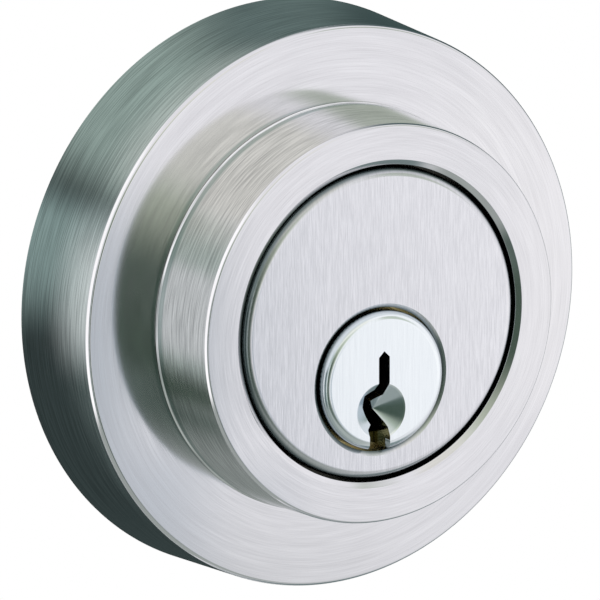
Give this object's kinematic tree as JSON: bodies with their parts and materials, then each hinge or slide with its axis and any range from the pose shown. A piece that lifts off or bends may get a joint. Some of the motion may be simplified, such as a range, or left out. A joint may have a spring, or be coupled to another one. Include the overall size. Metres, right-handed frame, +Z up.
{
  "type": "deadbolt lock outside cylinder",
  "caption": "Outside half of a deadbolt door lock: round rose, loose collar and a pin-tumbler cylinder whose key turns a flat tailpiece through the door.",
  "frame": {"origin": "centre of the rose on the door's outer face, on the axis of the cross bore", "axes": "+Y into the door along the bore, -Y towards the key, +Z up, +X right seen from outside"},
  "size_m": [0.0634, 0.0658, 0.0634],
  "materials": {
    "satin_nickel": "satin nickel, brushed in circles",
    "satin_nickel_face": "satin nickel on brass, brushed upright",
    "bright_nickel": "bright nickel on brass",
    "brass": "turned",
    "spring_steel": "drawn wire",
    "hardened_steel": "hardened, dark",
    "cast_zinc": "as cast",
    "plated_steel": "zinc plated"
  },
  "bodies": {
    "housing": {"rose": "satin_nickel", "cylinder_body": "satin_nickel_face", "spring_cover": "brass", "anti_drill_pins": "hardened_steel", "support_plate": "cast_zinc", "mounting_posts": "plated_steel", "cylinder_screws": "plated_steel", "rose_screws": "plated_steel", "pin_spring_1": "spring_steel", "pin_spring_2": "spring_steel", "pin_spring_3": "spring_steel", "pin_spring_4": "spring_steel", "pin_spring_5": "spring_steel"},
    "collar": {"collar": "satin_nickel"},
    "plug": {"plug": "bright_nickel", "tailpiece_retainer": "plated_steel", "retainer_screws": "plated_steel"},
    "tailpiece": {"tailpiece": "plated_steel"},
    "driver_pin_1": {"driver_pin_1": "brass"},
    "key_pin_1": {"key_pin_1": "brass"},
    "driver_pin_2": {"driver_pin_2": "brass"},
    "key_pin_2": {"key_pin_2": "brass"},
    "driver_pin_3": {"driver_pin_3": "brass"},
    "key_pin_3": {"key_pin_3": "brass"},
    "driver_pin_4": {"driver_pin_4": "brass"},
    "key_pin_4": {"key_pin_4": "brass"},
    "driver_pin_5": {"driver_pin_5": "brass"},
    "key_pin_5": {"key_pin_5": "brass"}
  },
  "joints": [
    {"name": "collar_spin", "type": "hinge", "parent": "housing", "child": "collar", "pos_m": [0, -0.018, 0], "axis": [0, 1, 0], "continuous": true},
    {"name": "plug_turn", "type": "hinge", "parent": "housing", "child": "plug", "pos_m": [0, -0.01, -0.0062], "axis": [0, 1, 0], "range_deg": [-90, 90]},
    {"name": "tailpiece_play", "type": "hinge", "parent": "plug", "child": "tailpiece", "pos_m": [0, 0.003, -0.0062], "axis": [0, 1, 0], "range_deg": [0, 90]},
    {"name": "driver_pin_1_lift", "type": "slide", "parent": "housing", "child": "driver_pin_1", "axis": [0, 0, 1], "range_m": [0, 0.003], "stiffness_N_per_m": 60, "springref_m": -0.002, "deforming": ["pin_spring_1"]},
    {"name": "key_pin_1_drop", "type": "slide", "parent": "plug", "child": "key_pin_1", "axis": [0, 0, 1], "range_m": [-0.00131, 0]},
    {"name": "driver_pin_2_lift", "type": "slide", "parent": "housing", "child": "driver_pin_2", "axis": [0, 0, 1], "range_m": [0, 0.003], "stiffness_N_per_m": 60, "springref_m": -0.002, "deforming": ["pin_spring_2"]},
    {"name": "key_pin_2_drop", "type": "slide", "parent": "plug", "child": "key_pin_2", "axis": [0, 0, 1], "range_m": [-0.00055, 0]},
    {"name": "driver_pin_3_lift", "type": "slide", "parent": "housing", "child": "driver_pin_3", "axis": [0, 0, 1], "range_m": [0, 0.003], "stiffness_N_per_m": 60, "springref_m": -0.002, "deforming": ["pin_spring_3"]},
    {"name": "key_pin_3_drop", "type": "slide", "parent": "plug", "child": "key_pin_3", "axis": [0, 0, 1], "range_m": [-0.00169, 0]},
    {"name": "driver_pin_4_lift", "type": "slide", "parent": "housing", "child": "driver_pin_4", "axis": [0, 0, 1], "range_m": [0, 0.003], "stiffness_N_per_m": 60, "springref_m": -0.002, "deforming": ["pin_spring_4"]},
    {"name": "key_pin_4_drop", "type": "slide", "parent": "plug", "child": "key_pin_4", "axis": [0, 0, 1], "range_m": [-0.00093, 0]},
    {"name": "driver_pin_5_lift", "type": "slide", "parent": "housing", "child": "driver_pin_5", "axis": [0, 0, 1], "range_m": [0, 0.003], "stiffness_N_per_m": 60, "springref_m": -0.002, "deforming": ["pin_spring_5"]},
    {"name": "key_pin_5_drop", "type": "slide", "parent": "plug", "child": "key_pin_5", "axis": [0, 0, 1], "range_m": [-0.00131, 0]}
  ]
}
